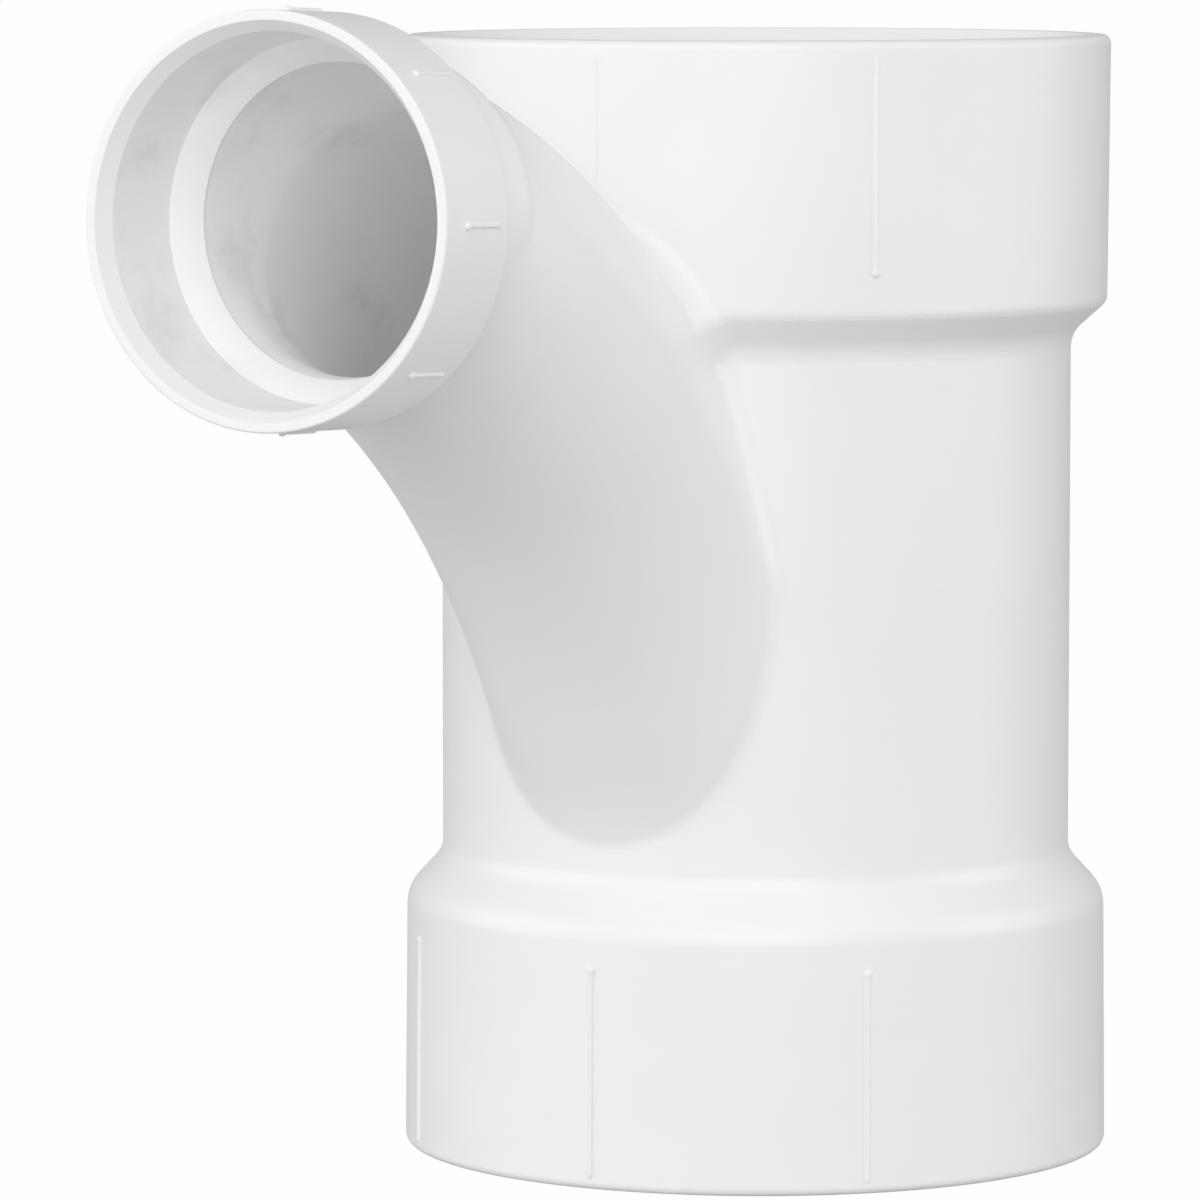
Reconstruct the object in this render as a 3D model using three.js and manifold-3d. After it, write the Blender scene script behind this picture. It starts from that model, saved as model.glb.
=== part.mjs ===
// Reducing long-sweep drainage fitting: two large pipe sockets on one straight run and one small
// socket on a long curved branch. The real object is a single moulding, so the nodes below are its
// natural regions, which meet face to face.
// Millimetres, +Z up. The run stands on its lower rim, the branch points to -X and the plane y = 0
// is the plane of symmetry. The run's own axis is the line x = 0 inside the group, which is then
// moved so that the origin is under the middle of the whole fitting.

import * as THREE from 'three';
import { mergeVertices } from 'three/addons/utils/BufferGeometryUtils.js';
import Module from 'manifold-3d';

const wasm = await Module();
wasm.setup();

// ---- driving dimensions ------------------------------------------------------------------------

const DEGREE = Math.PI / 180;

const run = {
  height: 201,
  boreRadius: 50.8,
  barrelRadius: 56.8,
  hubRimRadius: 63.7,
  hubRootRadius: 63.3,
  rimRounding: 1.8,
  socketMouthRadius: 57.35,
  socketRootRadius: 57.1,
  socketDepth: 44.45,
  mouthChamferDepth: 3.2,
  mouthChamferWidth: 2.2,
  stopAngle: 45 * DEGREE,
};

// A shoulder is the sloped step from a hub down to the barrel: a convex arc, a straight flank and
// a concave arc.
const lowerShoulder = { hubHeight: 43.5, convexRadius: 7, concaveRadius: 5.6, flankAngle: 43 * DEGREE };
const upperShoulder = { hubHeight: 46.7, convexRadius: 2.5, concaveRadius: 5.8, flankAngle: 48 * DEGREE };

const branch = {
  reach: 169.2,
  height: 173.7,
  tilt: 1.9 * DEGREE,
  hubRadius: 34.1,
  hubLength: 19.7,
  rimRounding: 0.9,
  neckEnd: 26,
  socketMouthRadius: 30.7,
  socketRootRadius: 30.0,
  socketDepth: 19,
  mouthChamferDepth: 2.9,
  mouthChamferWidth: 2.0,
  stopLength: 4.5,
};

// The branch tube's centre line runs straight behind the socket, then turns down on two arcs and
// enters the barrel on a straight line.
const sweep = {
  outerRadius: 29,
  boreRadius: 25,
  straightLength: 12,
  firstArc: { radius: 108, endAngle: 35 * DEGREE },
  secondArc: { radius: 200, endAngle: 61 * DEGREE },
  tailLength: 46,
};

const rib = { width: 1.1, height: 0.4, root: 1.2 };
const runRib = { ...rib, length: 38.5, rimGap: 2.5, angles: [-135, -45, 0, 45, 135, 180] };
const branchRib = { ...rib, length: 11, rimGap: 1.6, angles: [0, 45, 90, 135, 180, 225, 270, 315] };

const gap = 0.3;
const reachPast = 5;
const runSegments = 48;
const branchSegments = 40;
const sweepSegments = 36;
const sweepSteps = 24;
const arcSteps = 3;

// The rib at the back of the hub and the lowest point of the branch rim's flat face are the ends in X.
const backRibTop = THREE.MathUtils.lerp(
  run.hubRimRadius,
  run.hubRootRadius,
  runRib.rimGap / upperShoulder.hubHeight,
) + rib.height;
const rimFlatRadius = branch.hubRadius - branch.rimRounding;
const centreShift = (branch.reach + rimFlatRadius * Math.sin(branch.tilt) - backRibTop) / 2;

// ---- from three.js geometry to solids and back ----------------------------------------------------

function toSolid(geometry) {
  geometry.deleteAttribute('normal');
  geometry.deleteAttribute('uv');
  const merged = mergeVertices(geometry, 1e-4);
  return new wasm.Manifold(new wasm.Mesh({
    numProp: 3,
    vertProperties: new Float32Array(merged.attributes.position.array),
    triVerts: new Uint32Array(merged.index.array),
  }));
}

function toMesh(solid, name, material) {
  const { vertProperties, triVerts } = solid.getMesh();
  const geometry = new THREE.BufferGeometry();
  geometry.setAttribute('position', new THREE.BufferAttribute(new Float32Array(vertProperties), 3));
  geometry.setIndex(new THREE.BufferAttribute(new Uint32Array(triVerts), 1));
  geometry.computeVertexNormals();
  const mesh = new THREE.Mesh(geometry, material);
  mesh.name = name;
  return mesh;
}

// ---- outlines: points of (radius, distance along the axis), counter-clockwise, closed ---------------

function arc(centreR, centreZ, radius, from, to, steps = arcSteps) {
  const points = [];
  for (let i = 0; i <= steps; i += 1) {
    const angle = from + (to - from) * (i / steps);
    points.push([centreR + radius * Math.cos(angle), centreZ + radius * Math.sin(angle)]);
  }
  return points;
}

// Solid of revolution about +Z.
function revolve(outline, segments) {
  const closed = [...outline, outline[0]].map(([r, z]) => new THREE.Vector2(r, z));
  const geometry = new THREE.LatheGeometry(closed, segments);
  geometry.rotateX(Math.PI / 2);
  return toSolid(geometry);
}

// Outer profile of a shoulder, from the barrel up to its hub, starting at z = 0.
function shoulderProfile(shoulder) {
  const { convexRadius, concaveRadius, flankAngle } = shoulder;
  const drop = run.hubRootRadius - run.barrelRadius;
  const arcsDrop = (convexRadius + concaveRadius) * (1 - Math.cos(flankAngle));
  const arcsHeight = (convexRadius + concaveRadius) * Math.sin(flankAngle);
  const height = arcsHeight + (drop - arcsDrop) / Math.tan(flankAngle);
  const concave = arc(run.barrelRadius + concaveRadius, 0, concaveRadius, Math.PI, Math.PI - flankAngle);
  const convex = arc(run.hubRootRadius - convexRadius, height, convexRadius, -flankAngle, 0);
  return { points: [...concave, ...convex], height };
}

const flipped = (points, z) => points.map(([r, height]) => [r, z - height]).reverse();
const raised = (points, z) => points.map(([r, height]) => [r, z + height]);

const lowerProfile = shoulderProfile(lowerShoulder);
const upperProfile = shoulderProfile(upperShoulder);
const lowerShoulderTop = lowerShoulder.hubHeight + lowerProfile.height;
const upperHubBottom = run.height - upperShoulder.hubHeight;
const upperShoulderBottom = upperHubBottom - upperProfile.height;
const stopHeight = (run.socketRootRadius - run.boreRadius) * Math.tan(run.stopAngle);
const lowerStop = run.socketDepth;
const upperStop = run.height - run.socketDepth;

// Radius of the upper socket's sloped stop at a height.
const upperStopRadius = (z) => run.socketRootRadius - (upperStop - z) / Math.tan(run.stopAngle);

function rimRoundingAt(radius, rounding, from, to) {
  return arc(radius - rounding, rounding, rounding, from, to);
}

const lowerRim = [
  [run.socketMouthRadius + run.mouthChamferWidth, 0],
  ...rimRoundingAt(run.hubRimRadius, run.rimRounding, -Math.PI / 2, 0),
];

const outlines = {
  lower_hub: [
    ...lowerRim,
    [run.hubRootRadius, lowerShoulder.hubHeight],
    [run.socketRootRadius, lowerShoulder.hubHeight],
    [run.socketMouthRadius, run.mouthChamferDepth],
  ],
  lower_shoulder: [
    ...flipped(lowerProfile.points, lowerShoulderTop),
    [run.boreRadius, lowerShoulderTop],
    [run.boreRadius, lowerStop + stopHeight],
    [run.socketRootRadius, lowerStop],
    [run.socketRootRadius, lowerShoulder.hubHeight],
  ],
  run_barrel: [
    [run.barrelRadius, lowerShoulderTop],
    [run.barrelRadius, upperShoulderBottom],
    [run.boreRadius, upperShoulderBottom],
    [run.boreRadius, lowerShoulderTop],
  ],
  upper_shoulder: [
    ...raised(upperProfile.points, upperShoulderBottom),
    [upperStopRadius(upperHubBottom), upperHubBottom],
    [run.boreRadius, upperStop - stopHeight],
    [run.boreRadius, upperShoulderBottom],
  ],
  upper_hub: [
    [run.hubRootRadius, upperHubBottom],
    ...flipped(lowerRim, run.height),
    [run.socketMouthRadius, run.height - run.mouthChamferDepth],
    [run.socketRootRadius, upperStop],
    [upperStopRadius(upperHubBottom), upperHubBottom],
  ],
};

// The whole run filled in and grown by the gap, to cut the branch tube back to its surface.
const runEnvelope = [
  [0, -reachPast],
  [run.hubRimRadius + gap, -reachPast],
  [run.hubRootRadius + gap, lowerShoulder.hubHeight],
  ...flipped(lowerProfile.points, lowerShoulderTop).map(([r, z]) => [r + gap, z]),
  ...raised(upperProfile.points, upperShoulderBottom).map(([r, z]) => [r + gap, z]),
  [run.hubRimRadius + gap, run.height],
  [0, run.height],
];

// ---- the branch tube ------------------------------------------------------------------------------

// Centre line in the plane y = 0, measured along its own length from the branch rim.
class SweepPath extends THREE.Curve {
  constructor() {
    super();
    const { straightLength, firstArc, secondArc, tailLength } = sweep;
    this.arcs = [
      { length: straightLength, from: branch.tilt, to: branch.tilt },
      { length: firstArc.radius * (firstArc.endAngle - branch.tilt), from: branch.tilt, to: firstArc.endAngle },
      {
        length: secondArc.radius * (secondArc.endAngle - firstArc.endAngle),
        from: firstArc.endAngle,
        to: secondArc.endAngle,
      },
      { length: tailLength, from: secondArc.endAngle, to: secondArc.endAngle },
    ];
    this.total = this.arcs.reduce((sum, piece) => sum + piece.length, 0);
  }

  getPoint(t, target = new THREE.Vector3()) {
    let left = t * this.total;
    let x = -branch.reach;
    let z = branch.height;
    for (const piece of this.arcs) {
      const length = Math.min(left, piece.length);
      const heading = piece.from + (piece.to - piece.from) * (length / piece.length);
      const chordAngle = (piece.from + heading) / 2;
      const halfTurn = (heading - piece.from) / 2;
      const chord = halfTurn > 0 ? length * (Math.sin(halfTurn) / halfTurn) : length;
      x += chord * Math.cos(chordAngle);
      z -= chord * Math.sin(chordAngle);
      left -= length;
    }
    return target.set(x, 0, z);
  }
}

function sweepSolid(radius) {
  const section = new THREE.Shape();
  for (let i = 0; i < sweepSegments; i += 1) {
    const angle = (2 * Math.PI * i) / sweepSegments;
    const point = [radius * Math.cos(angle), radius * Math.sin(angle)];
    if (i === 0) section.moveTo(...point);
    else section.lineTo(...point);
  }
  section.closePath();
  const settings = { extrudePath: new SweepPath(), steps: sweepSteps, bevelEnabled: false };
  return toSolid(new THREE.ExtrudeGeometry(section, settings));
}

// ---- the branch socket, drawn along +Z from its rim and then laid on its tilted axis ----------------

const branchHubOutline = [
  [branch.socketMouthRadius + branch.mouthChamferWidth, 0],
  ...rimRoundingAt(branch.hubRadius, branch.rimRounding, -Math.PI / 2, 0),
  [branch.hubRadius, branch.hubLength],
  [sweep.outerRadius + 0.6, branch.neckEnd],
  [sweep.boreRadius + 0.6, branch.neckEnd],
  [sweep.boreRadius + 1.1, branch.socketDepth + branch.stopLength],
  [branch.socketRootRadius, branch.socketDepth],
  [branch.socketMouthRadius, branch.mouthChamferDepth],
];

const branchCutOutline = [
  [0, -reachPast],
  [branch.hubRadius + reachPast, -reachPast],
  [branch.hubRadius + reachPast, branch.neckEnd + gap],
  [0, branch.neckEnd + gap],
];

// Turns a solid drawn along +Z so that it starts at the branch rim and runs towards the barrel.
function layOnBranchAxis(solid) {
  const turned = solid.rotate([0, 90 + branch.tilt / DEGREE, 0]);
  return turned.translate([-branch.reach, 0, branch.height]);
}

// ---- raised alignment ribs --------------------------------------------------------------------------

// Ribs stand on a hub whose radius changes evenly from its rim, at z = rimZ, to its root.
function ribsOn(hub, ribSet) {
  const towardsRoot = Math.sign(hub.rootZ - hub.rimZ);
  const slope = (hub.rootRadius - hub.rimRadius) / Math.abs(hub.rootZ - hub.rimZ);
  const topAt = (distance) => hub.rimRadius + slope * distance + ribSet.height;
  const near = ribSet.rimGap;
  const far = ribSet.rimGap + ribSet.length;
  const foot = hub.rootRadius - ribSet.root;
  const outline = [[foot, near], [topAt(near), near], [topAt(far), far], [foot, far]];
  const shape = new THREE.Shape(outline.map(([r, distance]) => new THREE.Vector2(r, distance)));
  return ribSet.angles.map((degrees) => {
    const blade = new THREE.ExtrudeGeometry(shape, { depth: ribSet.width, bevelEnabled: false });
    blade.translate(0, 0, -ribSet.width / 2);
    blade.rotateX((Math.PI / 2) * towardsRoot);
    blade.translate(0, 0, hub.rimZ);
    blade.rotateZ(Math.PI + degrees * DEGREE);
    return toSolid(blade);
  });
}

const joined = (solid, others) => others.reduce((sum, other) => sum.add(other), solid);

// ---- build ------------------------------------------------------------------------------------------

const branchBore = sweepSolid(sweep.boreRadius);
const branchClearance = sweepSolid(sweep.outerRadius + gap);
const runHubRadii = { rimRadius: run.hubRimRadius, rootRadius: run.hubRootRadius };
const lowerRibs = ribsOn({ ...runHubRadii, rimZ: 0, rootZ: lowerShoulder.hubHeight }, runRib);
const upperRibs = ribsOn({ ...runHubRadii, rimZ: run.height, rootZ: upperHubBottom }, runRib);
const branchHubRadii = { rimRadius: branch.hubRadius, rootRadius: branch.hubRadius };
const branchRibs = ribsOn({ ...branchHubRadii, rimZ: 0, rootZ: branch.hubLength }, branchRib);

const lowerHub = joined(revolve(outlines.lower_hub, runSegments), lowerRibs);
const upperHub = joined(
  revolve(outlines.upper_hub, runSegments),
  upperRibs.map((solid) => solid.subtract(branchClearance)),
);
const branchHub = joined(revolve(branchHubOutline, branchSegments), branchRibs);
const branchTube = sweepSolid(sweep.outerRadius)
  .subtract(branchBore)
  .subtract(revolve(runEnvelope, runSegments))
  .subtract(layOnBranchAxis(revolve(branchCutOutline, branchSegments)));

const whitePvc = () => new THREE.MeshStandardMaterial({ color: 0xf0f0ee, roughness: 0.35, metalness: 0 });

const solids = {
  lower_hub: lowerHub,
  lower_shoulder: revolve(outlines.lower_shoulder, runSegments),
  run_barrel: revolve(outlines.run_barrel, runSegments).subtract(branchBore),
  upper_shoulder: revolve(outlines.upper_shoulder, runSegments).subtract(branchBore),
  upper_hub: upperHub.subtract(branchBore),
  branch_sweep: branchTube,
  branch_hub: layOnBranchAxis(branchHub),
};

const fitting = new THREE.Group();
fitting.position.x = centreShift;
for (const [name, solid] of Object.entries(solids)) {
  fitting.add(toMesh(solid, name, whitePvc()));
}

export default fitting;
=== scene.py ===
"""A white PVC drainage fitting: two large pipe sockets on a straight run, and a small socket on a long
curved branch that flows into it.

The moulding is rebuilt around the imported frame, region by region. Sockets are lathe-turned outlines
with rounded edges. The curved branch and its junction with the run come from one distance field, so
that the fillet where they meet is smooth, and are cut into the frame's regions by flat planes.
Shape-making code works in millimetres about the run's own axis, and `to_frame` takes it to metres.
"""

import math

import bmesh
import bpy
import numpy as np
import openvdb
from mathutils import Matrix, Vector


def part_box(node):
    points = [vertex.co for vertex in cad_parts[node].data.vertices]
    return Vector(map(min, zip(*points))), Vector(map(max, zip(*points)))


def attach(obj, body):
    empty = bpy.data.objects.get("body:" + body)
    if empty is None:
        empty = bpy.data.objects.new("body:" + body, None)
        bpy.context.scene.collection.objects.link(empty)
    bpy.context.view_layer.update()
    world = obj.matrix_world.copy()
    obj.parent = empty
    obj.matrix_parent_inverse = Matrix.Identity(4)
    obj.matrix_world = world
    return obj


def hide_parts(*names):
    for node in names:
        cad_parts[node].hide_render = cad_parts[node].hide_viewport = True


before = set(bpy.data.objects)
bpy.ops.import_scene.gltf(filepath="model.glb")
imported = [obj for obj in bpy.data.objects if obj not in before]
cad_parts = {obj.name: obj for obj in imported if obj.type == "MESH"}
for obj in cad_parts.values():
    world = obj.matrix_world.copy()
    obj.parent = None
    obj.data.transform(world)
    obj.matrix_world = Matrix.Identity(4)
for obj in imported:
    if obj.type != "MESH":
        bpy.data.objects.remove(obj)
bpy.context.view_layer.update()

MM = 0.001
DEGREE = math.pi / 180

# ---- places taken from the frame, in millimetres ---------------------------------------------------

shoulder_low, shoulder_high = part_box("lower_shoulder")
RUN_AXIS_X = (shoulder_low.x + shoulder_high.x) / 2
LOWER_HUB_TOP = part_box("lower_hub")[1].z / MM
LOWER_SHOULDER_TOP = shoulder_high.z / MM
BARREL_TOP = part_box("run_barrel")[1].z / MM
UPPER_SHOULDER_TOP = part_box("upper_shoulder")[1].z / MM
RUN_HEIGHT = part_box("upper_hub")[1].z / MM

# ---- driving dimensions, in millimetres ----------------------------------------------------------

BORE = 50.8
BARREL = 56.8
HUB_RIM = 63.7
HUB_ROOT = 63.3
SOCKET_MOUTH = 57.35
SOCKET_ROOT = 57.1
SOCKET_DEPTH = 44.45
STOP_SLOPE = BARREL - BORE + 0.3
LOWER_STEP = {"convex": 7.0, "concave": 5.6, "angle": 43 * DEGREE}
UPPER_STEP = {"convex": 2.5, "concave": 5.8, "angle": 48 * DEGREE}
UPPER_RIM_SPLIT = 187.0

BRANCH_REACH = 169.2
BRANCH_HEIGHT = 173.7
BRANCH_TILT = 1.9 * DEGREE
BRANCH_HUB = 34.1
BRANCH_HUB_END = 20.2
BRANCH_SPLIT = 24.0
BRANCH_SOCKET = {"rim": 32.4, "mouth": 30.7, "chamfer": 2.9, "root": 29.95, "depth": 18.95, "stop_end": 23.4}
# Radii on the socket's own wall, without the chamfer at its mouth or the stop at its root.
BRANCH_SOCKET_WALL = (29.9, 30.72)
# The straight collar behind the branch hub, which the curved tube comes out of.
COLLAR = {"radius": 28.3, "end": 41.5, "edge": 5.0}

# The branch tube's centre line: straight, two arcs that turn down, and straight into the run.
SWEEP = [
    ("line", BRANCH_SPLIT),
    ("arc", 40.1, 19.5 * DEGREE),
    ("arc", 165.9, 60.5 * DEGREE),
    ("line", 50.0),
]
TUBE = {"start": 27.0, "middle": 29.5, "end": 28.9, "at": (20.0, 90.0, 160.0)}
TUBE_BORE = {"start": 26.05, "end": 24.6, "at": (24.0, 42.0)}
# Flats along the tube's upper flanks: edge angles above the side, by position along the centre line.
FLANK = {
    "start": 37.0,
    "run_out": 4.5,
    "edge": 0.45,
    "low": ((40.0, 46.0, 60.0, 82.0, 107.0, 125.0), (18.0, 15.5, 11.6, 8.4, 5.3, 2.6)),
    "high": ((40.0, 60.0, 80.0, 100.0, 125.0), (65.0, 57.0, 51.0, 46.0, 41.0)),
}
JUNCTION_FILLET = 4.4
INNER_FILLET = 1.5

# ---- mesh fineness, in millimetres -----------------------------------------------------------------

FIELD_STEP = 0.95
FIELD_MARGIN = {"branch": 6, "side": 3, "end": 4}
SETTLE_REACH = 0.05
SHADING_REACH = 0.4
RELAXING = 0.6
LATHE_SEGMENTS = 256
ARC_STEP = 9 * DEGREE


def to_frame(points):
    """Millimetres about the run's axis to metres in the row frame."""
    return np.asarray(points, float) * MM + np.array([RUN_AXIS_X, 0.0, 0.0])


# ---- outlines made of lines and arcs, with the solid on their left ------------------------------------


class Line:
    """A straight piece of an outline. An open end goes on for ever."""

    def __init__(self, start, end, open_start=False, open_end=False):
        self.start = np.array(start, float)
        self.length = math.dist(start, end)
        self.along = (np.array(end, float) - self.start) / self.length
        self.out = np.array([self.along[1], -self.along[0]])
        self.low = -np.inf if open_start else 0.0
        self.high = np.inf if open_end else self.length

    def measure(self, r, z):
        """Signed distance, outward normal and whether the nearest point is on this line."""
        along = (r - self.start[0]) * self.along[0] + (z - self.start[1]) * self.along[1]
        away = (r - self.start[0]) * self.out[0] + (z - self.start[1]) * self.out[1]
        on = (along >= self.low) & (along <= self.high)
        return away, np.full_like(away, self.out[0]), np.full_like(away, self.out[1]), on

    def samples(self):
        return [self.start, self.start + self.along * self.length], [self.out, self.out]


class Arc:
    """A rounded corner of an outline.

    `first` is the angle of its first point, seen from the centre. `turn` is positive for a left turn.
    """

    def __init__(self, centre, radius, first, turn):
        self.centre = np.array(centre, float)
        self.radius = radius
        self.first = first
        self.turn = turn
        self.side = 1.0 if turn > 0 else -1.0

    def measure(self, r, z):
        dr = r - self.centre[0]
        dz = z - self.centre[1]
        far = np.maximum(np.hypot(dr, dz), 1e-9)
        middle = self.first + self.turn / 2
        off = np.angle(np.exp(1j * (np.arctan2(dz, dr) - middle)))
        on = np.abs(off) <= abs(self.turn) / 2
        return self.side * (far - self.radius), self.side * dr / far, self.side * dz / far, on

    def samples(self):
        steps = max(2, math.ceil(abs(self.turn) / ARC_STEP))
        angles = self.first + self.turn * np.linspace(0, 1, steps + 1)
        radial = np.stack([np.cos(angles), np.sin(angles)], axis=1)
        return list(self.centre + self.radius * radial), list(self.side * radial)


def outline(corners, closed=True):
    """Pieces of an outline through corners (radius, height, rounding)."""
    points = [np.array(c[:2], float) for c in corners]
    count = len(points)
    entries, exits, arcs = [], [], []
    for i, corner in enumerate(corners):
        rounding = corner[2] if closed or 0 < i < count - 1 else 0.0
        before = points[i] - points[i - 1]
        after = points[(i + 1) % count] - points[i]
        before = before / np.linalg.norm(before)
        after = after / np.linalg.norm(after)
        turn = math.atan2(before[0] * after[1] - before[1] * after[0], before @ after)
        reach = rounding * math.tan(abs(turn) / 2)
        entry = points[i] - before * reach
        entries.append(entry)
        exits.append(points[i] + after * reach)
        if reach > 1e-6:
            left = np.array([-before[1], before[0]]) * math.copysign(1, turn)
            centre = entry + left * rounding
            arcs.append(Arc(centre, rounding, math.atan2(*(entry - centre)[::-1]), turn))
        else:
            arcs.append(None)
    pieces = []
    for i in range(count):
        if arcs[i] is not None:
            pieces.append(arcs[i])
        if closed or i < count - 1:
            start, end = exits[i], entries[(i + 1) % count]
            if math.dist(start, end) > 1e-6:
                pieces.append(Line(start, end, not closed and i == 0, not closed and i == count - 2))
    return pieces


def measure(pieces, r, z):
    """Signed distance to an outline and its outward normal."""
    best = np.full(r.shape, np.inf)
    value, out_r, out_z = np.zeros(r.shape), np.ones(r.shape), np.zeros(r.shape)
    for piece in pieces:
        away, normal_r, normal_z, on = piece.measure(r, z)
        closer = on & (np.abs(away) < best)
        best[closer] = np.abs(away[closer])
        value[closer] = away[closer]
        out_r[closer] = normal_r[closer]
        out_z[closer] = normal_z[closer]
    return value, out_r, out_z


def step_corners(step, hub_side, barrel_side, up):
    """The two corners of a shoulder between a hub and the barrel."""
    reach = up * math.tan(step["angle"] / 2)
    hub_corner = (HUB_ROOT, hub_side + step["convex"] * reach, step["convex"])
    barrel_corner = (BARREL, barrel_side - step["concave"] * reach, step["concave"])
    return [hub_corner, barrel_corner]


LOWER_STEP_CORNERS = step_corners(LOWER_STEP, LOWER_HUB_TOP, LOWER_SHOULDER_TOP, 1)
UPPER_STEP_CORNERS = step_corners(UPPER_STEP, UPPER_SHOULDER_TOP, BARREL_TOP, -1)[::-1]

RUN_OUTSIDE = outline(
    [(HUB_RIM, 0, 0), *LOWER_STEP_CORNERS, *UPPER_STEP_CORNERS, (HUB_RIM, RUN_HEIGHT, 0)],
    closed=False,
)
RUN_INSIDE = outline(
    [
        (SOCKET_MOUTH, 0, 0),
        (SOCKET_ROOT, SOCKET_DEPTH, 0.5),
        (BORE, SOCKET_DEPTH + STOP_SLOPE, 0.8),
        (BORE, RUN_HEIGHT - SOCKET_DEPTH - STOP_SLOPE, 0.8),
        (SOCKET_ROOT, RUN_HEIGHT - SOCKET_DEPTH, 0.5),
        (SOCKET_MOUTH, RUN_HEIGHT, 0),
    ],
    closed=False,
)

# ---- the branch's centre line -------------------------------------------------------------------------


class CentreLine:
    """Path in the plane y = 0 that starts at the branch rim and bends down."""

    def __init__(self, spans):
        self.spans = []
        x, z, heading, travelled = -BRANCH_REACH, BRANCH_HEIGHT, BRANCH_TILT, 0.0
        for span in spans:
            if span[0] == "line":
                length, radius, end = span[1], None, heading
            else:
                radius, end = span[1], span[2]
                length = radius * (end - heading)
            self.spans.append((x, z, heading, end, radius, travelled, length))
            half = (end - heading) / 2
            chord = length * (math.sin(half) / half if half else 1.0)
            x += chord * math.cos(heading + half)
            z -= chord * math.sin(heading + half)
            heading = end
            travelled += length
        self.total = travelled

    def measure(self, points):
        """Distance from the path, unit direction away from it, position along it, rise and up direction.

        The rise is how far a point is above the path, across it in the plane y = 0.
        """
        px, py, pz = points[..., 0], points[..., 1], points[..., 2]
        best = np.full(px.shape, np.inf)
        place = np.zeros(px.shape)
        away = np.zeros(points.shape)
        rise = np.zeros(px.shape)
        upward = np.zeros(points.shape)
        for number, (x, z, heading, end, radius, travelled, length) in enumerate(self.spans):
            if radius is None:
                along = (px - x) * math.cos(heading) - (pz - z) * math.sin(heading)
                up = (px - x) * math.sin(heading) + (pz - z) * math.cos(heading)
                on = (along >= (-np.inf if number == 0 else 0.0))
                if number < len(self.spans) - 1:
                    on &= along <= length
                up_x, up_z = math.sin(heading), math.cos(heading)
            else:
                dx = px - (x - radius * math.sin(heading))
                dz = pz - (z - radius * math.cos(heading))
                far = np.maximum(np.hypot(dx, dz), 1e-9)
                angle = np.arctan2(dx, dz)
                along = radius * (angle - heading)
                on = (angle >= heading) & (angle <= end)
                up = far - radius
                up_x, up_z = dx / far, dz / far
            distance = np.maximum(np.hypot(up, py), 1e-9)
            closer = on & (distance < best)
            direction = np.stack([up * up_x / distance, py / distance, up * up_z / distance], -1)
            lift = np.stack(np.broadcast_arrays(up_x, np.zeros_like(up), up_z), -1)
            best[closer] = distance[closer]
            place[closer] = (travelled + along)[closer]
            away[closer] = direction[closer]
            rise[closer] = up[closer]
            upward[closer] = lift[closer]
        return best, away, place, rise, upward


CENTRE_LINE = CentreLine(SWEEP)


def tube_radius(place):
    """The branch tube's outer radius: it swells to the middle of the bend and then narrows."""
    start, middle, end = TUBE["at"]
    early = np.clip((middle - place) / (middle - start), 0, 1)
    late = np.clip((place - middle) / (end - middle), 0, 1.15)
    grown = TUBE["middle"] - (TUBE["middle"] - TUBE["start"]) * early**2
    return grown - (TUBE["middle"] - TUBE["end"]) * late**2


def tube_bore_radius(place):
    """The branch tube's inner radius: it narrows behind the pipe stop."""
    start, end = TUBE_BORE["at"]
    share = np.clip((place - start) / (end - start), 0, 1)
    return TUBE_BORE["start"] + (TUBE_BORE["end"] - TUBE_BORE["start"]) * share


# ---- the moulding as a distance field ----------------------------------------------------------------


def filleted(a, a_out, b, b_out, radius):
    """Union of two distance fields with a rolling-ball fillet."""
    cosine = np.clip((a_out * b_out).sum(-1), -0.98, 0.98)
    u, w = radius - a, radius - b
    corner = (u - cosine * w > 0) & (w - cosine * u > 0)
    reach = np.sqrt(np.maximum((u * u + w * w - 2 * cosine * u * w) / (1 - cosine**2), 1e-12))
    return np.where(corner, radius - reach, np.minimum(a, b))


def revolved(pieces, points):
    """Distance field and outward direction of a shape of revolution about the run's axis."""
    rho = np.maximum(np.hypot(points[..., 0], points[..., 1]), 1e-9)
    value, out_r, out_z = measure(pieces, rho, points[..., 2])
    out = np.stack([points[..., 0] / rho * out_r, points[..., 1] / rho * out_r, out_z], -1)
    return value, out


def flanked(points, distance, away, place, rise, upward):
    """The branch's outside, a round tube with a flat along each upper flank.

    Returns its field, its outward direction and how far each place is on a flat, from 0 to 1.
    """
    radius = tube_radius(place)
    low = np.interp(place, *FLANK["low"]) * DEGREE
    high = np.interp(place, *FLANK["high"]) * DEGREE
    share = np.clip((place - FLANK["start"]) / FLANK["run_out"], 0, 1)
    share = share * share * (3 - 2 * share)
    middle, half = (low + high) / 2, (high - low) / 2 * share
    y = points[..., 1]
    sideways = np.sign(y) * np.cos(middle)
    out = np.stack([np.zeros_like(y), sideways, np.zeros_like(y)], -1)
    out = out + upward * np.sin(middle)[..., None]
    flat = np.abs(y) * np.cos(middle) + rise * np.sin(middle) - radius * np.cos(half)
    tube = distance - radius
    soft = FLANK["edge"]
    near = np.clip(0.5 + (flat - tube) / (2 * soft), 0, 1)
    value = tube + (flat - tube) * near + soft * near * (1 - near)
    near = np.where(share > 0, near, 0)
    value = np.where(share > 0, value, tube)
    return value, away + (out - away) * near[..., None], near


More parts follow.
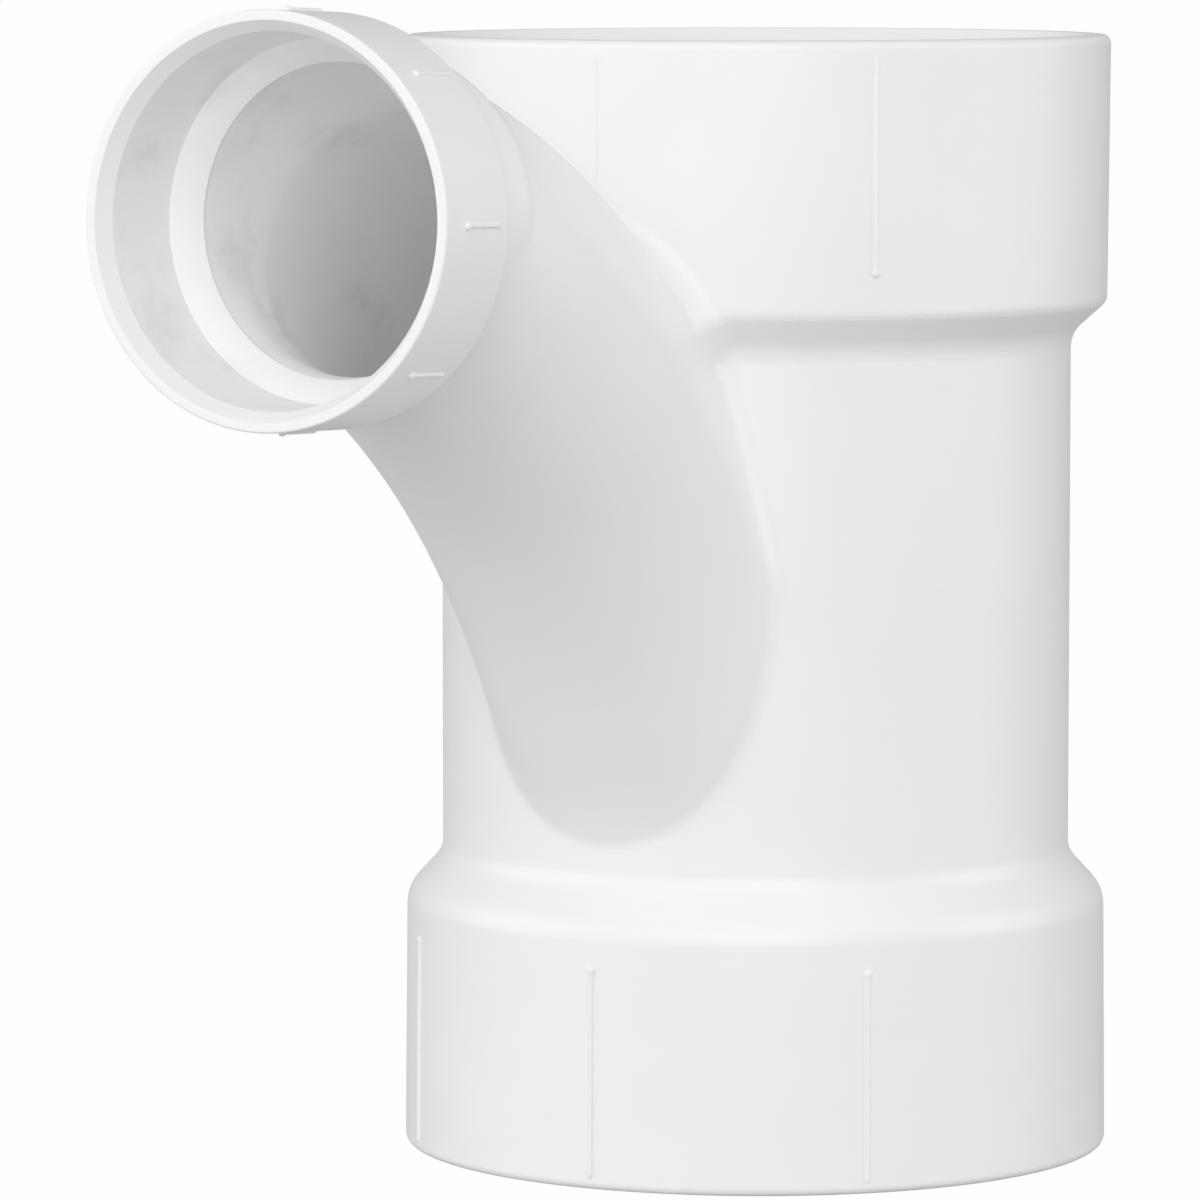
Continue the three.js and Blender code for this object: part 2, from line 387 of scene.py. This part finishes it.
def collar(points):
    """The round-ended cylinder behind the branch hub."""
    from_rim = points - BRANCH_AXIS.origin
    along = from_rim @ BRANCH_AXIS.along
    radial = np.sqrt(np.maximum((from_rim**2).sum(-1) - along**2, 0))
    out_r = radial - COLLAR["radius"] + COLLAR["edge"]
    out_d = along - COLLAR["end"] + COLLAR["edge"]
    rounded = np.hypot(np.maximum(out_r, 0), np.maximum(out_d, 0))
    return rounded + np.minimum(np.maximum(out_r, out_d), 0) - COLLAR["edge"]


def moulding(points):
    """Field of the run and the branch together, below zero in the plastic, and the hollow's own field."""
    distance, away, place, rise, upward = CENTRE_LINE.measure(points)
    past_end = place - CENTRE_LINE.total
    tube, away_out, _ = flanked(points, distance, away, place, rise, upward)
    tube = np.maximum(tube, past_end)
    bore = np.maximum(distance - tube_bore_radius(place), past_end)
    outside = filleted(*revolved(RUN_OUTSIDE, points), tube, away_out, JUNCTION_FILLET)
    outside = np.minimum(outside, collar(points))
    inside = filleted(*revolved(RUN_INSIDE, points), bore, away, INNER_FILLET)
    return np.maximum(outside, -inside), inside


def painted_junction_light_share(points):
    """Painted light: one on the flats and fillets that lead from the branch into the run, which the finish
    makes lighter, and zero elsewhere.
    """
    distance, away, place, rise, upward = CENTRE_LINE.measure(points)
    tube, _, flat = flanked(points, distance, away, place, rise, upward)
    run, _ = revolved(RUN_OUTSIDE, points)
    fillet = np.clip((np.minimum(tube, run) - 0.03) / 0.5, 0, 1)
    on_tube = (np.abs(tube) < 0.3) & (rise > 0)
    return np.maximum(fillet, np.where(on_tube, flat, 0))


def slope(points, reach):
    """Gradient of the moulding's field."""
    result = np.empty(points.shape)
    for axis in range(3):
        offset = np.zeros(3)
        offset[axis] = reach
        result[:, axis] = (moulding(points + offset)[0] - moulding(points - offset)[0]) / (2 * reach)
    return result


def settle(points, rounds):
    """Moves points onto the field's surface."""
    for _ in range(rounds):
        gradient = slope(points, SETTLE_REACH)
        size = np.maximum((gradient**2).sum(1), 0.2)
        points = points - gradient * np.clip(moulding(points)[0] / size, -1, 1)[:, None]
    return points


def relax(points, quads):
    """One step of even spacing: each point moves towards the middle of its neighbours."""
    ends = np.concatenate([quads, np.roll(quads, -1, axis=1)]).reshape(-1)
    others = np.concatenate([np.roll(quads, -1, axis=1), quads]).reshape(-1)
    count = np.bincount(ends, minlength=len(points))[:, None]
    total = np.stack([np.bincount(ends, points[others, i], len(points)) for i in range(3)], 1)
    return points + RELAXING * (total / np.maximum(count, 1) - points)


def extract_moulding():
    """Points and quads of the field's surface over the branch and the run's middle."""
    side = HUB_RIM + FIELD_MARGIN["side"]
    branch_end = -BRANCH_REACH + BRANCH_SPLIT - FIELD_MARGIN["branch"]
    low = np.array([branch_end, -side, LOWER_SHOULDER_TOP - FIELD_MARGIN["end"]])
    high = np.array([side, side, RUN_HEIGHT + FIELD_MARGIN["end"]])
    axes = [np.arange(low[i], high[i] + FIELD_STEP, FIELD_STEP) for i in range(3)]
    values = np.empty([len(axis) for axis in axes], np.float32)
    for i, x in enumerate(axes[0]):
        y, z = np.meshgrid(axes[1], axes[2], indexing="ij")
        values[i] = moulding(np.stack([np.full_like(y, x), y, z], -1))[0]
    grid = openvdb.FloatGrid(background=3 * FIELD_STEP)
    grid.copyFromArray(np.clip(values, -3 * FIELD_STEP, 3 * FIELD_STEP))
    grid.gridClass = openvdb.GridClass.LEVEL_SET
    points, quads = grid.convertToQuads(isovalue=0.0)
    quads = quads.astype(np.int64)[:, ::-1]
    points = settle(low + points.astype(float) * FIELD_STEP, 2)
    for _ in range(2):
        points = settle(relax(points, quads), 1)
    return settle(points, 2), quads


# ---- meshes ------------------------------------------------------------------------------------------


def make_object(name, points, faces, corner_normals, attributes):
    """A mesh object with its own smooth corner normals, placed in the row frame."""
    mesh = bpy.data.meshes.new(name)
    mesh.from_pydata([tuple(p) for p in to_frame(points)], [], faces)
    mesh.polygons.foreach_set("use_smooth", np.ones(len(faces), bool))
    for key, values in attributes.items():
        layer = mesh.attributes.new(key, "FLOAT", "POINT")
        layer.data.foreach_set("value", np.asarray(values, np.float32))
    mesh.validate(clean_customdata=False)
    mesh.normals_split_custom_set(corner_normals)
    mesh.update()
    thing = bpy.data.objects.new(name, mesh)
    bpy.context.scene.collection.objects.link(thing)
    return thing


class Axis:
    """A line in space that lathe-turned pieces stand on."""

    def __init__(self, origin, along, side):
        self.origin = np.array(origin, float)
        self.along = np.array(along, float)
        self.side = np.array(side, float)
        self.up = np.cross(self.along, self.side)

    def spin(self, profile, angle):
        """Rows of (away from the axis, along the axis) as vectors, at an angle about the axis."""
        radial = math.cos(angle) * self.side + math.sin(angle) * self.up
        outward, onward = np.asarray(profile).T
        return np.outer(outward, radial) + np.outer(onward, self.along)


RUN_AXIS = Axis((0, 0, 0), (0, 0, 1), (1, 0, 0))
BRANCH_AXIS = Axis(
    (-BRANCH_REACH, 0, BRANCH_HEIGHT),
    (math.cos(BRANCH_TILT), 0, -math.sin(BRANCH_TILT)),
    (0, 1, 0),
)


def turned(name, corners, axis, hollow=(0, 0)):
    """Lathe-turned closed shape from corners (radius, height, rounding), counter-clockwise.

    Points with a radius between the two in `hollow` get the colour of an inner wall: lighter, as painted
    light, and smudged.
    """
    spots, first_normals, second_normals = [], [], []
    for piece in outline(corners):
        places, normals = piece.samples()
        for i in range(len(places) - 1):
            spots.append(places[i])
            first_normals.append(normals[i])
            second_normals.append(normals[i + 1])
    spots = np.array(spots)
    count = len(spots)
    angles = 2 * math.pi * np.arange(LATHE_SEGMENTS) / LATHE_SEGMENTS
    points = np.concatenate([axis.origin + axis.spin(spots, a) for a in angles])
    first_spun = [axis.spin(first_normals, a) for a in angles]
    second_spun = [axis.spin(second_normals, a) for a in angles]
    faces, normals = [], []
    for j in range(LATHE_SEGMENTS):
        k = (j + 1) % LATHE_SEGMENTS
        for i in range(count):
            n = (i + 1) % count
            faces.append((j * count + i, k * count + i, k * count + n, j * count + n))
            normals += [first_spun[j][i], first_spun[k][i], second_spun[k][i], second_spun[j][i]]
    inner = (spots[:, 0] > hollow[0]) & (spots[:, 0] < hollow[1])
    return make_object(name, points, faces, normals, {"hollow": np.tile(inner, LATHE_SEGMENTS)})


def cut_region(name, points, quads, planes):
    """The part of the extracted surface on the inner side of each plane, with its cut faces closed."""
    bm = bmesh.new()
    mesh = bpy.data.meshes.new(name)
    mesh.from_pydata([tuple(p) for p in points], [], [tuple(q) for q in quads])
    bm.from_mesh(mesh)
    bpy.data.meshes.remove(mesh)
    for origin, outward in planes:
        found = bmesh.ops.bisect_plane(
            bm, geom=bm.verts[:] + bm.edges[:] + bm.faces[:], dist=1e-5,
            plane_co=origin, plane_no=outward, clear_outer=True,
        )
        rim = [e for e in found["geom_cut"] if isinstance(e, bmesh.types.BMEdge) and e.is_boundary]
        made = bmesh.ops.triangle_fill(
            bm, edges=rim, use_beauty=False, use_dissolve=False, normal=outward,
        )
        for face in made["geom"]:
            if isinstance(face, bmesh.types.BMFace):
                face.tag = True
                if face.normal.dot(Vector(outward)) < 0:
                    face.normal_flip()
    bm.normal_update()
    bm.verts.ensure_lookup_table()
    spots = np.array([v.co for v in bm.verts], float)
    inside = moulding(spots)[1]
    smooth = slope(spots, SHADING_REACH)
    smooth /= np.maximum(np.linalg.norm(smooth, axis=1), 1e-9)[:, None]
    faces, normals = [], []
    for face in bm.faces:
        faces.append(tuple(v.index for v in face.verts))
        for v in face.verts:
            normals.append(tuple(face.normal) if face.tag else tuple(smooth[v.index]))
    bm.free()
    # Inner walls, which the finish makes lighter as painted light and marks with smudges.
    hollow = np.clip(1 - np.abs(inside) / 0.4, 0, 1)
    # Painted light on the junction fillets and flats, kept off the inner walls.
    painted_junction_light = painted_junction_light_share(spots) * (1 - hollow)
    return make_object(name, spots, faces, normals, {"hollow": hollow, "painted_junction_light": painted_junction_light})


# ---- sockets ---------------------------------------------------------------------------------------

RIM_EDGE = 0.35


def rim_corners(height, up):
    """Outer edge, flat face and inner chamfer of a run socket's rim, from outside in when up is 1."""
    corners = [
        (HUB_RIM, height, 1.5),
        (SOCKET_MOUTH + 2.2, height, RIM_EDGE),
        (SOCKET_MOUTH, height - up * 3.2, RIM_EDGE),
    ]
    return corners if up > 0 else corners[::-1]


lower_hub = turned(
    "lower_hub_wall",
    [*rim_corners(0, -1), (HUB_ROOT, LOWER_HUB_TOP, 0), (SOCKET_ROOT, LOWER_HUB_TOP, 0)],
    RUN_AXIS,
)
lower_shoulder = turned(
    "lower_shoulder_wall",
    [
        (SOCKET_ROOT, LOWER_HUB_TOP, 0),
        (HUB_ROOT, LOWER_HUB_TOP, 0),
        *LOWER_STEP_CORNERS,
        (BARREL, LOWER_SHOULDER_TOP, 0),
        (BORE, LOWER_SHOULDER_TOP, 0),
        (BORE, SOCKET_DEPTH + STOP_SLOPE, 0.8),
        (SOCKET_ROOT, SOCKET_DEPTH, 0.5),
    ],
    RUN_AXIS,
)
upper_taper = (HUB_RIM - HUB_ROOT) / (RUN_HEIGHT - UPPER_SHOULDER_TOP)
socket_taper = (SOCKET_MOUTH - SOCKET_ROOT) / SOCKET_DEPTH
rim_height = RUN_HEIGHT - UPPER_RIM_SPLIT
upper_rim = turned(
    "upper_rim",
    [
        (HUB_RIM - upper_taper * rim_height, UPPER_RIM_SPLIT, 0),
        *rim_corners(RUN_HEIGHT, 1),
        (SOCKET_MOUTH - socket_taper * rim_height, UPPER_RIM_SPLIT, 0),
    ],
    RUN_AXIS,
)
branch_hub = turned(
    "branch_hub_wall",
    [
        (BRANCH_SOCKET["mouth"], BRANCH_SOCKET["chamfer"], 0.25),
        (BRANCH_SOCKET["rim"], 0, 0.2),
        (BRANCH_HUB, 0, 0.4),
        (BRANCH_HUB, BRANCH_HUB_END, 0.9),
        (COLLAR["radius"], BRANCH_HUB_END + 0.9, 2.6),
        (COLLAR["radius"], BRANCH_SPLIT, 0),
        (TUBE_BORE["start"], BRANCH_SPLIT, 0),
        (TUBE_BORE["start"], BRANCH_SOCKET["stop_end"], 0.2),
        (BRANCH_SOCKET["root"], BRANCH_SOCKET["depth"], 0.2),
    ],
    BRANCH_AXIS,
    hollow=BRANCH_SOCKET_WALL,
)

# ---- branch, barrel and junction ------------------------------------------------------------------------

surface = extract_moulding()
# The leaning plane between the run and the branch, and the level or square ones between the others.
JUNCTION_PLACE = (-60.0, 0, LOWER_SHOULDER_TOP)
TOWARDS_BRANCH = (-1.0, 0, -0.0496)
TOWARDS_RUN = (1.0, 0, 0.0496)
regions = {
    "run_barrel_wall": [
        (JUNCTION_PLACE, TOWARDS_BRANCH),
        ((0, 0, LOWER_SHOULDER_TOP), (0, 0, -1)),
        ((0, 0, BARREL_TOP), (0, 0, 1)),
    ],
    "upper_shoulder_wall": [
        (JUNCTION_PLACE, TOWARDS_BRANCH),
        ((0, 0, BARREL_TOP), (0, 0, -1)),
        ((0, 0, UPPER_SHOULDER_TOP), (0, 0, 1)),
    ],
    "upper_hub_wall": [
        (JUNCTION_PLACE, TOWARDS_BRANCH),
        ((0, 0, UPPER_SHOULDER_TOP), (0, 0, -1)),
        ((0, 0, UPPER_RIM_SPLIT), (0, 0, 1)),
    ],
    "branch_sweep_wall": [
        (JUNCTION_PLACE, TOWARDS_RUN),
        (tuple(BRANCH_AXIS.origin + BRANCH_SPLIT * BRANCH_AXIS.along), tuple(-BRANCH_AXIS.along)),
    ],
}
walls = {name: cut_region(name, *surface, planes) for name, planes in regions.items()}

# ---- raised alignment ribs ------------------------------------------------------------------------------


RIDGE_SIDES = 16
RIDGE_STEPS = 40


def bulge(share):
    """Height of a half circle of radius 1 at a place across it, and zero beyond its ends."""
    return math.sqrt(max(1 - share**2, 0.0))


def ridge(axis, angle, start, end, foot, width, height, bead, bead_at_start):
    """A low rounded bar along a hub, with a rounded bead at one of its ends."""
    around = np.linspace(-math.pi, math.pi, RIDGE_SIDES + 1)[:-1]
    rings = []
    length = abs(end - start)
    for i in range(RIDGE_STEPS + 1):
        place = i / RIDGE_STEPS
        travelled = length * (1 - math.cos(math.pi * place)) / 2
        from_bead = travelled if bead_at_start else length - travelled
        from_end = min(travelled, length - travelled)
        taper = bulge(1 - min(from_end / (width / 2), 1))
        ball = bulge((from_bead - bead) / bead)
        half = max(width / 2 * taper, bead * ball) + 0.01
        tall = max(height * taper, height * 1.5 * ball) + 0.01
        centre = start + math.copysign(travelled, end - start)
        radius = foot(centre)
        sideways = half * np.sin(around)
        lift = np.where(np.cos(around) > 0, tall * np.cos(around), 0.35 * np.cos(around))
        twist = angle + sideways / radius
        radial = np.outer(np.cos(twist), axis.side) + np.outer(np.sin(twist), axis.up)
        rings.append(axis.origin + (radius + lift)[:, None] * radial + centre * axis.along)
    count = len(around)
    points = np.concatenate(rings)
    faces = []
    for i in range(RIDGE_STEPS):
        for j in range(count):
            k = (j + 1) % count
            faces.append((i * count + j, i * count + k, (i + 1) * count + k, (i + 1) * count + j))
    faces.append(tuple(range(count))[::-1])
    faces.append(tuple(RIDGE_STEPS * count + j for j in range(count)))
    return points, faces


def ribs(name, specs):
    """Several ridges joined in one object, smooth all over."""
    points, faces = [], []
    for spec in specs:
        made, polygons = ridge(**spec)
        offset = sum(len(p) for p in points)
        points.append(made)
        faces += [tuple(v + offset for v in f) for f in polygons]
    mesh = bpy.data.meshes.new(name)
    mesh.from_pydata([tuple(p) for p in to_frame(np.concatenate(points))], [], faces)
    bm = bmesh.new()
    bm.from_mesh(mesh)
    bmesh.ops.recalc_face_normals(bm, faces=bm.faces[:])
    bm.to_mesh(mesh)
    bm.free()
    mesh.polygons.foreach_set("use_smooth", np.ones(len(mesh.polygons), bool))
    mesh.update()
    thing = bpy.data.objects.new(name, mesh)
    bpy.context.scene.collection.objects.link(thing)
    return thing


def hub_radius(distance_from_rim, hub_length):
    """Outer radius of a run hub, which narrows slightly away from its rim."""
    return HUB_RIM - (HUB_RIM - HUB_ROOT) * distance_from_rim / hub_length


# Shapes of the ribs, in millimetres, and where each set of them starts, ends and is turned to.
RUN_RIB = {"width": 1.0, "height": 0.38, "bead": 0.85}
FAINT_RIB = {"width": 0.9, "height": 0.14, "bead": 0.45}
BRANCH_RIB = {"width": 0.75, "height": 0.45, "bead": 0.75}
RUN_RIB_ANGLES = [-135, -45, 0, 45, 135, 180]
LOWER_RIBS = {"start": 39.6, "end": 2.0, "turn": 1.0}
UPPER_RIBS = {"start": 160.0, "faint_start": 172.0, "end": 198.0, "turn": 1.9}
BRANCH_RIBS = {"start": 5.9, "end": 16.9, "count": 8}


def lower_rib(angle):
    """A rib of the lower hub. Angles count from the one that faces the branch, in degrees."""
    return dict(
        axis=RUN_AXIS,
        angle=math.pi + (angle + LOWER_RIBS["turn"]) * DEGREE,
        start=LOWER_RIBS["start"],
        end=LOWER_RIBS["end"],
        foot=lambda z: hub_radius(z, LOWER_HUB_TOP),
        bead_at_start=True,
        **RUN_RIB,
    )


def upper_rib(angle):
    """The rib that faces the branch is fainter, shorter and beaded at its other end."""
    faint = angle == 0
    return dict(
        axis=RUN_AXIS,
        angle=math.pi + (angle + UPPER_RIBS["turn"]) * DEGREE,
        start=UPPER_RIBS["faint_start" if faint else "start"],
        end=UPPER_RIBS["end"],
        foot=lambda z: hub_radius(RUN_HEIGHT - z, RUN_HEIGHT - UPPER_SHOULDER_TOP),
        bead_at_start=not faint,
        **(FAINT_RIB if faint else RUN_RIB),
    )


def branch_rib(number):
    """One of the evenly spaced ribs round the branch hub."""
    return dict(
        axis=BRANCH_AXIS,
        angle=2 * math.pi * number / BRANCH_RIBS["count"],
        start=BRANCH_RIBS["start"],
        end=BRANCH_RIBS["end"],
        foot=lambda z: BRANCH_HUB,
        bead_at_start=True,
        **BRANCH_RIB,
    )


lower_ribs = ribs("lower_hub_ribs", [lower_rib(a) for a in RUN_RIB_ANGLES])
upper_ribs = ribs("upper_hub_ribs", [upper_rib(a) for a in RUN_RIB_ANGLES])
branch_ribs = ribs("branch_hub_ribs", [branch_rib(i) for i in range(BRANCH_RIBS["count"])])

# ---- finish ----------------------------------------------------------------------------------------


def node(tree, kind, **settings):
    """A new shader node. Each setting is an input's value or, failing that, an attribute's."""
    made = tree.nodes.new(kind)
    for key, value in settings.items():
        if key in made.inputs:
            made.inputs[key].default_value = value
        else:
            setattr(made, key, value)
    return made


def noise(tree, place, scale, detail, rough=0.55):
    """Cloudy noise laid out in the object's own coordinates."""
    made = node(tree, "ShaderNodeTexNoise", Scale=scale, Detail=detail, Roughness=rough)
    tree.links.new(place.outputs["Object"], made.inputs["Vector"])
    return made


def ramp(tree, source, low, high, at=(0.3, 0.7)):
    """A colour that goes from low to high as the source goes between the two places in `at`."""
    made = tree.nodes.new("ShaderNodeValToRGB")
    made.color_ramp.elements[0].position, made.color_ramp.elements[1].position = at
    made.color_ramp.elements[0].color = (*low, 1)
    made.color_ramp.elements[1].color = (*high, 1)
    tree.links.new(source, made.inputs["Fac"])
    return made


def grey(value):
    """A neutral white or grey that is very slightly warm."""
    return (value, value, value * 0.995)


def surface_mask(tree, name):
    """One of the numbers that the meshes carry, from 0 to 1."""
    made = tree.nodes.new("ShaderNodeAttribute")
    made.attribute_name = name
    return made.outputs["Fac"]


def tinted(tree, colour, share, value):
    """The colour, taken towards a grey by a share from 0 to 1."""
    colour_in, tint_in, result = 6, 7, 2
    mix = node(tree, "ShaderNodeMix", data_type="RGBA")
    tree.links.new(share, mix.inputs["Factor"])
    tree.links.new(colour, mix.inputs[colour_in])
    mix.inputs[tint_in].default_value = (*grey(value), 1)
    return mix.outputs[result]


WHITE = (0.88, 0.90)
# Painted light: the lighter colour of the junction fillets and of the flats along the branch's upper flanks.
PAINTED_JUNCTION_LIGHT_WHITE = 0.92
# The photo's bore is lighter than these lamps make it; this lighter colour on the inner walls is painted
# light that stands for it.
PAINTED_BORE_LIGHT_WHITE = 0.968
SMUDGE = 0.836
GLOSS = (0.34, 0.46)
PVC_IOR = 1.53
CLOUD_SCALE = 38.0
STREAK_SCALE = 55.0
PATCH_SCALE = 90.0
SKIN_SCALE = 700.0
SKIN_DEPTH = 0.0002


def pvc(name, with_painted_light_and_smudges=False):
    """Moulded white PVC: slightly uneven white, satin gloss and a very fine skin. With painted light and
    smudges, the junction and the inner walls are lighter as painted light, and the inner walls are smudged.
    """
    material = bpy.data.materials.new(name)
    material.use_nodes = True
    tree = material.node_tree
    shader = tree.nodes["Principled BSDF"]
    shader.inputs["IOR"].default_value = PVC_IOR
    place = tree.nodes.new("ShaderNodeTexCoord")
    clouds = noise(tree, place, CLOUD_SCALE, 4.0)
    colour = ramp(tree, clouds.outputs["Fac"], grey(WHITE[0]), grey(WHITE[1])).outputs["Color"]
    if with_painted_light_and_smudges:
        hollow = surface_mask(tree, "hollow")
        # Painted light: the junction fillets and flats made lighter.
        colour = tinted(tree, colour, surface_mask(tree, "painted_junction_light"), PAINTED_JUNCTION_LIGHT_WHITE)
        # Painted light: the inner walls made lighter.
        colour = tinted(tree, colour, hollow, PAINTED_BORE_LIGHT_WHITE)
        streaks = noise(tree, place, STREAK_SCALE, 6.0, 0.62)
        dirt = ramp(tree, streaks.outputs["Fac"], (0, 0, 0), (1, 1, 1), (0.52, 0.72))
        amount = node(tree, "ShaderNodeMath", operation="MULTIPLY")
        tree.links.new(dirt.outputs["Color"], amount.inputs[0])
        tree.links.new(hollow, amount.inputs[1])
        colour = tinted(tree, colour, amount.outputs[0], SMUDGE)
    tree.links.new(colour, shader.inputs["Base Color"])
    patches = noise(tree, place, PATCH_SCALE, 3.0)
    gloss = node(tree, "ShaderNodeMapRange")
    gloss.inputs["To Min"].default_value, gloss.inputs["To Max"].default_value = GLOSS
    tree.links.new(patches.outputs["Fac"], gloss.inputs["Value"])
    tree.links.new(gloss.outputs["Result"], shader.inputs["Roughness"])
    skin = noise(tree, place, SKIN_SCALE, 3.0)
    bump = node(tree, "ShaderNodeBump", Strength=0.10, Distance=SKIN_DEPTH)
    tree.links.new(skin.outputs["Fac"], bump.inputs["Height"])
    tree.links.new(bump.outputs["Normal"], shader.inputs["Normal"])
    return material


finishes = {
    "pvc_lower_hub": pvc("moulded_pvc_lower_hub"),
    "pvc_barrel": pvc("moulded_pvc_barrel", with_painted_light_and_smudges=True),
    "pvc_upper_hub": pvc("moulded_pvc_upper_hub", with_painted_light_and_smudges=True),
    "pvc_branch": pvc("moulded_pvc_branch", with_painted_light_and_smudges=True),
}
assignments = [
    (lower_hub, "pvc_lower_hub", ["lower_hub"]),
    (lower_ribs, "pvc_lower_hub", []),
    (lower_shoulder, "pvc_lower_hub", ["lower_shoulder"]),
    (walls["run_barrel_wall"], "pvc_barrel", ["run_barrel"]),
    (walls["upper_shoulder_wall"], "pvc_upper_hub", ["upper_shoulder"]),
    (walls["upper_hub_wall"], "pvc_upper_hub", ["upper_hub"]),
    (upper_rim, "pvc_upper_hub", ["upper_hub"]),
    (upper_ribs, "pvc_upper_hub", []),
    (walls["branch_sweep_wall"], "pvc_branch", ["branch_sweep"]),
    (branch_hub, "pvc_branch", ["branch_hub"]),
    (branch_ribs, "pvc_branch", []),
]
for piece, slot, replaced in assignments:
    piece.data.materials.append(finishes[slot])
    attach(piece, "root")
    if replaced:
        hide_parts(*replaced)

# ---- floor, light and camera, in metres ------------------------------------------------------------------

FLOOR_REACH = 40.0
FLOOR_WHITE = 0.5
FLOOR_GRAIN = 0.005
FLOOR_GLOW = 0.07
GLOW_SHARE = 0.98
GLOW_LIFT = 0.00005


def plane(name, height, material):
    """A wide square of floor."""
    mesh = bpy.data.meshes.new(name)
    corners = [(-1, -1), (1, -1), (1, 1), (-1, 1)]
    points = [(x * FLOOR_REACH, y * FLOOR_REACH, height) for x, y in corners]
    mesh.from_pydata(points, [], [(0, 1, 2, 3)])
    mesh.materials.append(material)
    thing = bpy.data.objects.new(name, mesh)
    bpy.context.scene.collection.objects.link(thing)
    return thing


def make_floor():
    """Pale paper, and just over it a white glow that only the camera sees and that lights nothing."""
    paper = bpy.data.materials.new("studio_paper")
    paper.use_nodes = True
    tree = paper.node_tree
    shader = tree.nodes["Principled BSDF"]
    shader.inputs["Roughness"].default_value = 0.9
    shader.inputs["Specular IOR Level"].default_value = 0.0
    shader.inputs["Emission Color"].default_value = (1, 1, 1, 1)
    shader.inputs["Emission Strength"].default_value = FLOOR_GLOW
    place = tree.nodes.new("ShaderNodeTexCoord")
    grain = noise(tree, place, 3.0, 2.0)
    low, high = FLOOR_WHITE - FLOOR_GRAIN, FLOOR_WHITE + FLOOR_GRAIN
    colour = ramp(tree, grain.outputs["Fac"], (low, low, low), (high, high, high))
    tree.links.new(colour.outputs["Color"], shader.inputs["Base Color"])
    plane("floor", 0.0, paper)

    glow = bpy.data.materials.new("floor_glow")
    glow.use_nodes = True
    tree = glow.node_tree
    tree.nodes.clear()
    clear = tree.nodes.new("ShaderNodeBsdfTransparent")
    white = tree.nodes.new("ShaderNodeEmission")
    blend = tree.nodes.new("ShaderNodeMixShader")
    blend.inputs["Fac"].default_value = GLOW_SHARE
    result = tree.nodes.new("ShaderNodeOutputMaterial")
    tree.links.new(clear.outputs[0], blend.inputs[1])
    tree.links.new(white.outputs[0], blend.inputs[2])
    tree.links.new(blend.outputs[0], result.inputs["Surface"])
    sheen = plane("floor_glow", GLOW_LIFT, glow)
    for rays in ("diffuse", "glossy", "transmission", "volume_scatter", "shadow"):
        setattr(sheen, "visible_" + rays, False)


LAMP_TARGET = Vector((0, 0, 0.1))
LAMP_DISTANCE = 2.5
LAMP_SIZE = 1.8


def soft_light(name, azimuth, elevation, power):
    """A large square lamp that faces the middle of the object. Azimuth 0 is +X, 90 is +Y."""
    a, e = azimuth * DEGREE, elevation * DEGREE
    lamp = bpy.data.lights.new(name, "AREA")
    lamp.shape = "SQUARE"
    lamp.size = LAMP_SIZE
    lamp.energy = power
    thing = bpy.data.objects.new(name, lamp)
    offset = Vector((math.cos(a) * math.cos(e), math.sin(a) * math.cos(e), math.sin(e)))
    thing.location = LAMP_TARGET + offset * LAMP_DISTANCE
    thing.rotation_euler = (-offset).to_track_quat("-Z", "Y").to_euler()
    bpy.context.scene.collection.objects.link(thing)


make_floor()
WORLD_STRENGTH = 0.40
world = bpy.data.worlds.new("surround")
world.use_nodes = True
world.node_tree.nodes["Background"].inputs["Color"].default_value = (1, 1, 1, 1)
world.node_tree.nodes["Background"].inputs["Strength"].default_value = WORLD_STRENGTH
bpy.context.scene.world = world
# Azimuth and elevation in degrees, and power in watts.
LAMPS = {
    "front_high": (209, 30, 12.4),
    "front_low": (209, 6, 20.5),
    "front_left": (164, 12, 8.5),
    "front_right": (254, 12, 0.9),
    "left": (119, 12, 20.0),
    "right": (299, 12, 17.7),
    "above_front": (209, 58, 4.8),
    "above": (209, 85, 0.9),
    "back_left": (80, 20, 2.0),
}
for lamp, (azimuth, elevation, power) in LAMPS.items():
    soft_light(lamp, azimuth, elevation, power)

CAMERA_PLACE = (-1.1413, -0.6334, 0.2272)
CAMERA_LOOK = Vector((0.86954, 0.48467, -0.09477))
camera_data = bpy.data.cameras.new("camera")
camera_data.sensor_width = 36.0
camera_data.lens = 224.47
camera_data.clip_end = 100.0
camera = bpy.data.objects.new("camera", camera_data)
camera.location = CAMERA_PLACE
camera.rotation_euler = CAMERA_LOOK.to_track_quat("-Z", "Y").to_euler()
bpy.context.scene.collection.objects.link(camera)
bpy.context.scene.camera = camera
bpy.context.scene.view_settings.view_transform = "Standard"
bpy.context.scene.view_settings.look = "None"
